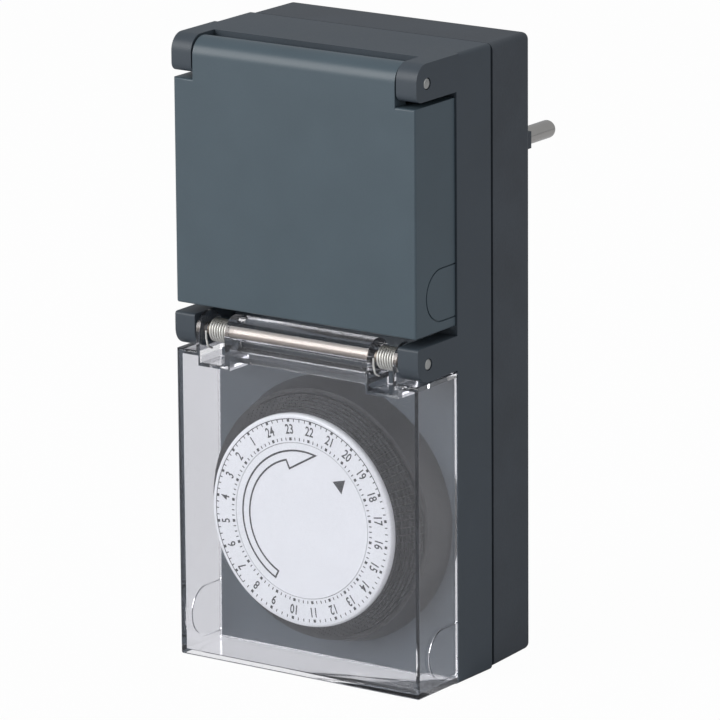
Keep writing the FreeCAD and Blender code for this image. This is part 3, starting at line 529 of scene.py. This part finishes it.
def strip_faces(rows: int, columns: int, close_rows: bool, close_columns: bool) -> np.ndarray:
    """Quads of a grid whose rows or columns may close on themselves.

    Args:
        rows: How many rows of points there are.
        columns: How many points a row has.
        close_rows: Whether the last row joins the first.
        close_columns: Whether each row's last point joins its first.

    Returns:
        Corner numbers, four a row.
    """
    bands, steps = rows - (not close_rows), columns - (not close_columns)
    row, column = np.meshgrid(np.arange(bands), np.arange(steps), indexing="ij")
    down, right = (row + 1) % rows, (column + 1) % columns
    here, below = row * columns, down * columns
    quads = [here + column, here + right, below + right, below + column]
    return np.stack(quads, -1).reshape(-1, 4)


def wire(name: str, path: np.ndarray, outward: np.ndarray, radius: float) -> bpy.types.Object:
    """A round wire along a path: each point of it carries a circle square to the path's direction.

    The circle is radius * (cos u * n + sin u * b), where n is outward made square to the direction and
    b is direction x n. Its ends shrink over three rows in a half round.

    Args:
        name: The piece's name.
        path: Points of the centreline.
        outward: A vector for each point that isn't along the path.
        radius: The wire's radius.

    Returns:
        The wire as a closed mesh.
    """
    sides = 10
    ahead = np.gradient(path, axis=0)
    ahead /= np.linalg.norm(ahead, axis=1, keepdims=True)
    caps = np.array([90.0, 60.0, 30.0]) * math.pi / 180
    lead = path[0] - np.outer(np.sin(caps), ahead[0]) * radius
    tail = path[-1] + np.outer(np.sin(caps[::-1]), ahead[-1]) * radius
    round_end = np.cos(caps) + 1e-3
    thick = np.concatenate([round_end, np.ones(len(path)), round_end[::-1]]) * radius
    line = np.concatenate([lead, path, tail])
    ahead = np.concatenate([np.repeat(ahead[:1], 3, 0), ahead, np.repeat(ahead[-1:], 3, 0)])
    side = np.concatenate([np.repeat(outward[:1], 3, 0), outward, np.repeat(outward[-1:], 3, 0)])
    side = side - np.sum(side * ahead, 1, keepdims=True) * ahead
    side /= np.linalg.norm(side, axis=1, keepdims=True)
    other = np.cross(ahead, side)
    turn = np.linspace(0, 2 * math.pi, sides, endpoint=False)
    across, along = np.cos(turn)[None, :, None], np.sin(turn)[None, :, None]
    ring = across * side[:, None, :] + along * other[:, None, :]
    points = (line[:, None, :] + ring * thick[:, None, None]).reshape(-1, 3)
    ends = np.stack([line[0], line[-1]])
    quads = strip_faces(len(line), sides, False, True)
    step = np.arange(sides)
    first, last = len(points), len(points) + 1
    base = (len(line) - 1) * sides
    near = np.stack([np.full(sides, first), (step + 1) % sides, step], -1)
    far = np.stack([np.full(sides, last), base + step, base + (step + 1) % sides], -1)
    return new_piece(name, np.concatenate([points, ends]), quads.tolist() + near.tolist() + far.tolist())


def dress(piece: bpy.types.Object, material: bpy.types.Material) -> None:
    """Give a piece one material."""
    piece.data.materials.clear()
    piece.data.materials.append(material)


class Wardrobe:
    """The materials of the whole object, one for each slot of the record."""

    def __init__(self) -> None:
        """Build every finish once."""
        self.made = {slot: finish.make(slot) for slot, finish in FINISHES.items()}
        self.ink = PrintInk().make("print_ink")

    def dress_nodes(self, frame: dict[str, Any]) -> None:
        """Give each carried-over node its slot's material and smooth its round faces.
        """
        for part in frame["record"]["subparts"]:
            piece = frame["nodes"][part["node"]]
            dress(piece, self.made[part["material_slot"]])
            self.smooth(piece)
            LOG.info("dressed %s in %s", part["node"], part["material_slot"])

    @staticmethod
    def smooth(piece: bpy.types.Object) -> None:
        """Shade a node's round faces smooth, and keep its edges sharp, with modifiers alone."""
        piece.data.polygons.foreach_set("use_smooth", np.ones(len(piece.data.polygons), bool))
        weld = piece.modifiers.new("weld", "WELD")
        weld.merge_threshold = 1e-6
        split = piece.modifiers.new("split", "EDGE_SPLIT")
        split.split_angle = math.radians(28)


@dataclass
class LidSpring:
    """A coiled torsion spring round a hinge pin: a coil, a leg on the casing and a leg on the lid."""

    node: str
    lid: str
    wire_radius: float = 0.27 * MM
    turns: float = 7.5
    steps: int = 28
    leg_rows: int = 14
    casing_leg: float = 11.6 * MM
    lid_leg: float = 4.6 * MM
    leg_drift: float = 1.1 * MM
    foot_bend: float = 1.5 * MM

    def build(self, material: bpy.types.Material) -> None:
        """Make the coil and its legs, and put them in the node's place.

        Args:
            material: The wire's material.
        """
        low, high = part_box(self.node)
        middle = np.array([0.0, (low.y + high.y) / 2, (low.z + high.z) / 2])
        radius = (high.z - low.z) / 2 - self.wire_radius
        leg_room = 3.3 * self.wire_radius
        coil = self.coil(middle, radius, low.x + leg_room, high.x - self.wire_radius)
        dress(coil, material)
        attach(coil, "casing")
        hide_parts(self.node)
        leg = self.leg(middle, radius, low.x + self.wire_radius)
        dress(leg, material)
        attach(leg, self.lid)
        LOG.info("built the spring in place of %s", self.node)

    def coil(self, middle: np.ndarray, radius: float, start: float, end: float) -> bpy.types.Object:
        """A helix that runs out to a straight leg at the back.

        The helix is x = start + share * length, y = r sin t and z = -r cos t.

        Args:
            middle: A point on the hinge's axis.
            radius: Radius of the wire's centreline.
            start: Where the coil starts along X.
            end: Where it ends.

        Returns:
            The coil.
        """
        angle = np.linspace(0, 2 * math.pi * self.turns, int(self.turns * self.steps))
        x = start + (end - start) * angle / angle[-1]
        round_y, round_z = radius * np.sin(angle), -radius * np.cos(angle)
        helix = np.stack([x, middle[1] + round_y, middle[2] + round_z], -1)
        along = np.linspace(0, self.casing_leg, self.leg_rows)[1:]
        still = np.ones(len(along))
        straight = np.stack([end * still, middle[1] + along, (middle[2] - radius) * still], -1)
        path = np.concatenate([helix, straight])
        outward = path - middle
        outward[:, 0] = 0
        return wire(self.node + "_coil", path, outward, self.wire_radius)

    def leg(self, middle: np.ndarray, radius: float, start: float) -> bpy.types.Object:
        """A leg that leaves the front of the coil downwards and bends back at its foot.

        Below 0.4 of its drop it drifts sideways evenly, and below 0.75 it bends back with the square.

        Args:
            middle: A point on the hinge's axis.
            radius: Radius of the coil's centreline.
            start: Where the leg stands along X.

        Returns:
            The leg.
        """
        drop = np.linspace(0, 1, 22)
        x = start + self.leg_drift * np.clip(drop - 0.4, 0, 1)
        y = middle[1] - radius + self.foot_bend * (np.clip(drop - 0.75, 0, 1) / 0.25) ** 2
        z = middle[2] - self.lid_leg * drop
        path = np.stack([x, y, z], -1)
        outward = np.tile([0.0, -1.0, 0.0], (len(path), 1))
        return wire(self.node + "_leg", path, outward, self.wire_radius)


@dataclass
class PinHeads:
    """Domed ends of the two hinge pins, inside their holes on both sides of the casing."""

    height: float = 0.28 * MM
    rows: int = 10
    sides: int = 32

    def build(self, node: str, material: bpy.types.Material) -> None:
        """Put a dome on each end of one pin.

        Each point of the dome is height * sqrt(1 - s^2) past the pin's end and radius * s from its
        axis, with s from 1 to 0.

        Args:
            node: The pin.
            material: The pin's metal.
        """
        low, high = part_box(node)
        middle_y, middle_z = (low.y + high.y) / 2, (low.z + high.z) / 2
        radius = (high.z - low.z) / 2 - 0.03 * MM
        share = np.linspace(1.0, 0.02, self.rows)[:, None]
        turn = np.linspace(0, 2 * math.pi, self.sides, endpoint=False)[None, :]
        for side, name in ((1, "right"), (-1, "left")):
            x = side * (high.x + self.height * np.sqrt(1 - share**2) + 0 * turn)
            y = middle_y + radius * share * np.cos(side * turn)
            z = middle_z + radius * share * np.sin(side * turn)
            points = np.stack([x, y, z], -1).reshape(-1, 3)
            quads = strip_faces(self.rows, self.sides, False, True).tolist()
            base = list(range(self.sides - 1, -1, -1))
            top = [len(points) - self.sides + corner for corner in range(self.sides)]
            piece = new_piece(f"{node}_head_{name}", points, [*quads, top, base])
            dress(piece, material)
            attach(piece, "casing")
        LOG.info("built the domed ends of %s", node)


@dataclass
class DialPrint:
    """All the dial's print: the hours and ticks on the ring, and the arrow and pointer on the cap."""

    middle: float = DIAL_MIDDLE
    ink_depth: float = 0.03 * MM
    first_hour: float = 113.5
    number_radius: float = 24.0 * MM
    number_height: float = 2.6 * MM
    number_narrowing: float = 0.74
    number_weight: float = 0.018
    outer_ticks: tuple[float, float] = (25.85 * MM, 26.65 * MM)
    inner_ticks: tuple[float, float] = (21.0 * MM, 21.8 * MM)
    tick_width: float = 0.28 * MM
    hour_width: float = 0.75 * MM
    arc_width: float = 0.22 * MM
    line_width: float = 0.50 * MM
    arrow_outer: tuple[float, float] = (18.2 * MM, 18.4 * MM)
    arrow_inner: float = 16.15 * MM
    barb_radius: float = 13.8 * MM
    pointer_radius: float = 16.4 * MM
    pointer_angle: float = 43.0
    pointer_side: float = 4.0 * MM

    def hour_angle(self, hour: np.ndarray | float) -> np.ndarray | float:
        """Angle of an hour round the dial, in degrees from +X towards +Z."""
        return self.first_hour - 15.0 * (24 - hour)

    def build(self, material: bpy.types.Material) -> None:
        """Make all the print.

        Args:
            material: The ink.
        """
        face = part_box("dial_ring")[0].y
        ring = [self.ticks(), self.arc(), *self.numbers()]
        self.lay("dial_hours_print", ring, face, material, "dial")
        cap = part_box("index_cap")[0].y
        self.lay("cap_arrow_print", [self.arrow(), self.pointer()], cap, material, "casing")

    def lay(
        self, name: str, marks: list[Marks], face: float, material: bpy.types.Material, body: str
    ) -> None:
        """Join flat marks into one thin layer of ink on a face.

        Args:
            name: The piece's name.
            marks: Flat marks, each with its points (x, z from the dial's middle) and its faces.
            face: Where the printed face is along Y.
            material: The ink.
            body: The body that it rides on.
        """
        points, faces, count = [], [], 0
        for flat, loops in marks:
            points.append(flat)
            faces += [[corner + count for corner in loop] for loop in loops]
            count += len(flat)
        flat = np.concatenate(points)
        deep = np.full(len(flat), face - 0.002 * MM)
        piece = new_piece(name, np.stack([flat[:, 0], deep, self.middle + flat[:, 1]], -1), faces, False)
        layer = piece.modifiers.new("layer", "SOLIDIFY")
        layer.thickness = self.ink_depth
        layer.offset = 1.0
        dress(piece, material)
        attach(piece, body)
        LOG.info("printed %s with %d faces", name, len(faces))

    def ticks(self) -> Marks:
        """Four ticks for each hour in two rings, as radial bars, with the hour's bar wider.

        Returns:
            Flat points and faces.
        """
        quarter = np.arange(96)
        angle = np.radians(self.hour_angle(quarter / 4))
        wide = np.where(quarter % 4 == 0, self.hour_width, self.tick_width) / 2
        bars = []
        for near, far in (self.inner_ticks, self.outer_ticks):
            radial = np.stack([np.cos(angle), np.sin(angle)], -1)
            across = np.stack([-np.sin(angle), np.cos(angle)], -1) * wide[:, None]
            inner, outer = radial * near, radial * far
            corners = [inner - across, outer - across, outer + across, inner + across]
            bars.append(np.stack(corners, 1).reshape(-1, 2))
        points = np.concatenate(bars)
        faces = np.arange(len(points)).reshape(-1, 4)[:, ::-1]
        return points, faces.tolist()

    def arc(self) -> Marks:
        """A thin arc at the outer ticks' ends, from 18 hours round over 24 to past 7."""
        sweep = np.radians(np.linspace(self.hour_angle(18), self.hour_angle(7.5) + 360, 160))
        line = np.stack([np.cos(sweep), np.sin(sweep)], -1) * self.outer_ticks[1]
        return self.ribbon(line, self.arc_width, False)

    @staticmethod
    def ribbon(line: np.ndarray, width: float, closed: bool) -> Marks:
        """A flat ribbon: the line offset by half the width to each side along its mitred normal.

        Args:
            line: Points of the line.
            width: The ribbon's width.
            closed: Whether the line's end joins its start.

        Returns:
            Flat points and faces.
        """
        if closed:
            before, after = line - np.roll(line, 1, 0), np.roll(line, -1, 0) - line
        else:
            step = np.diff(line, axis=0)
            before, after = np.concatenate([step[:1], step]), np.concatenate([step, step[-1:]])
        before /= np.linalg.norm(before, axis=1, keepdims=True)
        after /= np.linalg.norm(after, axis=1, keepdims=True)
        first = np.stack([-before[:, 1], before[:, 0]], -1)
        second = np.stack([-after[:, 1], after[:, 0]], -1)
        mitre = first + second
        mitre /= np.linalg.norm(mitre, axis=1, keepdims=True)
        reach = width / 2 / np.maximum(np.sum(mitre * first, 1), 0.3)
        left, right = line + mitre * reach[:, None], line - mitre * reach[:, None]
        points = np.stack([left, right], 1).reshape(-1, 2)
        count = len(line)
        step = np.arange(count if closed else count - 1)
        after_step = (step + 1) % count
        faces = np.stack([2 * step, 2 * after_step, 2 * after_step + 1, 2 * step + 1], -1)
        return points, faces.tolist()

    def numbers(self) -> list[Marks]:
        """The hours 1 to 24, narrow figures with their tops outwards.

        Returns:
            Flat points and faces of each number.
        """
        full, _ = self.figure("8")
        scale = self.number_height / np.ptp(full[:, 1])
        return [self.number(hour, scale) for hour in range(1, 25)]

    def figure(self, words: str) -> Marks:
        """Figures filled flat, at the font's own size.

        Args:
            words: The figures.

        Returns:
            Flat points and faces.
        """
        curve = bpy.data.curves.new("figure", "FONT")
        curve.body = words
        curve.resolution_u = 4
        curve.offset = self.number_weight
        text = bpy.data.objects.new("figure", curve)
        mesh = bpy.data.meshes.new_from_object(text)
        flat = np.zeros(len(mesh.vertices) * 3)
        mesh.vertices.foreach_get("co", flat)
        flat = flat.reshape(-1, 3)[:, :2]
        loops = [list(face.vertices)[::-1] for face in mesh.polygons]
        bpy.data.objects.remove(text)
        bpy.data.meshes.remove(mesh)
        return flat, loops

    def number(self, hour: int, scale: float) -> Marks:
        """One hour's figures, centred, scaled, narrowed and turned to their place.

        Args:
            hour: The hour.
            scale: From the font's size to metres.

        Returns:
            Flat points and faces.
        """
        flat, loops = self.figure(str(hour))
        flat = (flat - (flat.min(0) + flat.max(0)) / 2) * np.array([scale * self.number_narrowing, scale])
        turn = math.radians(float(self.hour_angle(hour)))
        outward = np.array([math.cos(turn), math.sin(turn)])
        rightward = np.array([math.sin(turn), -math.cos(turn)])
        placed = outward * self.number_radius + flat[:, :1] * rightward + flat[:, 1:] * outward
        return placed, loops

    def arrow(self) -> Marks:
        """The turning arrow's outline: two arcs, a square tail, and a head with one inner barb.

        Returns:
            Flat points and faces.
        """
        tail, tip, barb_end, barb_root = 243.0, 76.0, 105.0, 106.5
        outer = self.polar(np.linspace(*self.arrow_outer, 90), np.linspace(tail, tip, 90))
        barb = self.polar(np.array([self.barb_radius]), np.array([barb_end]))
        inner = self.polar(np.full(80, self.arrow_inner), np.linspace(barb_root, tail, 80))
        return self.ribbon(np.concatenate([outer, barb, inner]), self.line_width, True)

    def pointer(self) -> Marks:
        """A solid triangle with its tip outwards, which shows the time."""
        centre = self.polar(np.array([self.pointer_radius]), np.array([self.pointer_angle]))
        turns = self.pointer_angle + np.array([0.0, 120.0, 240.0])
        tips = self.polar(np.full(3, self.pointer_side / math.sqrt(3)), turns)
        return centre + tips, [[0, 2, 1]]

    @staticmethod
    def polar(radius: np.ndarray, degrees: np.ndarray) -> np.ndarray:
        """Flat points at these radii and angles."""
        turn = np.radians(degrees)
        return np.stack([radius * np.cos(turn), radius * np.sin(turn)], -1)


@dataclass
class Studio:
    """A pale floor, soft light and the camera."""

    azimuth: float = 34.847
    elevation: float = 14.527
    roll: float = -0.444
    distance: float = 1.6564
    lens: float = 322.07
    aim: tuple[float, float, float] = (-0.00252, 0.00656, 0.07667)
    surroundings: float = 0.38

    def build(self) -> None:
        """Set up the whole studio."""
        self.world()
        self.floor()
        self.lamp("key", (-0.75, -1.35, 0.85), 1.1, 16.6)
        self.lamp("overhead", (0.25, 0.35, 1.5), 0.8, 3.0)
        self.lamp("rear_fill", (1.5, 0.3, 0.5), 0.9, 1.45)
        self.camera()
        bpy.context.scene.view_settings.view_transform = "Standard"

    def seen_directly(self, shader: "Shader") -> Term:
        """1 for the rays that see the background: from the camera and through clear plastic."""
        ray = shader.node("ShaderNodeLightPath").socket.node.outputs
        seen = Term(shader, ray["Is Camera Ray"]) + Term(shader, ray["Is Transmission Ray"])
        return seen.at_most(1.0)

    def world(self) -> None:
        """White where the background is seen, and a dimmer grey as light."""
        shader = Shader(bpy.data.worlds.new("surroundings"))
        share = self.seen_directly(shader)
        dim = {"Color": (0.93, 0.96, 1.0, 1.0), "Strength": self.surroundings}
        light = shader.node("ShaderNodeBackground", inputs=dim)
        white = shader.node("ShaderNodeBackground", inputs={"Color": (1.0, 1.0, 1.0, 1.0), "Strength": 1.0})
        mixed = shader.node("ShaderNodeMixShader", inputs={0: share, 1: light, 2: white})
        bpy.context.scene.world = shader.done(mixed)

    def floor(self) -> None:
        """A wide pale floor that looks white and keeps a faint shadow."""
        corner = 6.0
        points = np.array([[-1, -1, 0], [1, -1, 0], [1, 1, 0], [-1, 1, 0]]) * corner
        piece = new_piece("floor", points, [[0, 1, 2, 3]], False)
        shader = Shader.of_material("floor_paint")
        matt = shader.principled(Base_Color=(0.62, 0.62, 0.63, 1.0), Roughness=0.9)
        glow = shader.node("ShaderNodeEmission", inputs={"Color": (1.0, 1.0, 1.0, 1.0), "Strength": 1.0})
        share = self.seen_directly(shader) * 0.975
        surface = shader.node("ShaderNodeMixShader", inputs={0: share, 1: matt, 2: glow})
        dress(piece, shader.done(surface))
        piece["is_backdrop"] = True

    def lamp(self, name: str, place: tuple[float, float, float], size: float, power: float) -> None:
        """A soft square lamp that faces the object.

        Args:
            name: The lamp's name.
            place: Where it stands, in metres.
            size: Its side.
            power: Its power, in watts.
        """
        light = bpy.data.lights.new(name, "AREA")
        light.size = size
        light.energy = power
        holder = bpy.data.objects.new(name, light)
        holder.location = place
        holder.rotation_euler = (Vector(self.aim) - Vector(place)).to_track_quat("-Z", "Y").to_euler()
        bpy.context.scene.collection.objects.link(holder)

    def camera(self) -> None:
        """The camera, which looks down a little from the front right."""
        side, up = math.radians(self.azimuth), math.radians(self.elevation)
        back = Vector((math.sin(side) * math.cos(up), -math.cos(side) * math.cos(up), math.sin(up)))
        data = bpy.data.cameras.new("camera")
        data.lens = self.lens
        data.sensor_width = 36.0
        data.clip_start, data.clip_end = 0.05, 50.0
        holder = bpy.data.objects.new("camera", data)
        roll = Matrix.Rotation(math.radians(self.roll), 4, "Z")
        turn = (-back).to_track_quat("-Z", "Y").to_matrix().to_4x4() @ roll
        holder.matrix_world = Matrix.Translation(Vector(self.aim) + back * self.distance) @ turn
        bpy.context.scene.collection.objects.link(holder)
        bpy.context.scene.camera = holder


def corners() -> list[list[float]]:
    """The shown object's lowest and highest corner as plain lists."""
    return [[float(value) for value in corner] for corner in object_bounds()]


def main() -> None:
    """Build the object's looks in order."""
    logging.basicConfig(level=logging.INFO, format="%(message)s")
    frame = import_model()
    wardrobe = Wardrobe()
    wardrobe.dress_nodes(frame)
    frame["nodes"]["timer_lid"].visible_shadow = False
    springs = {
        "socket_lid_spring": "socket_lid",
        "timer_lid_spring_right": "timer_lid",
        "timer_lid_spring_left": "timer_lid",
    }
    for node, lid in springs.items():
        LidSpring(node, lid).build(wardrobe.made["spring_steel"])
    for node in ("socket_lid_pin", "timer_lid_pin"):
        PinHeads().build(node, wardrobe.made["screw_steel"])
    DialPrint().build(wardrobe.ink)
    Studio().build()


if __name__ == "__main__":
    main()
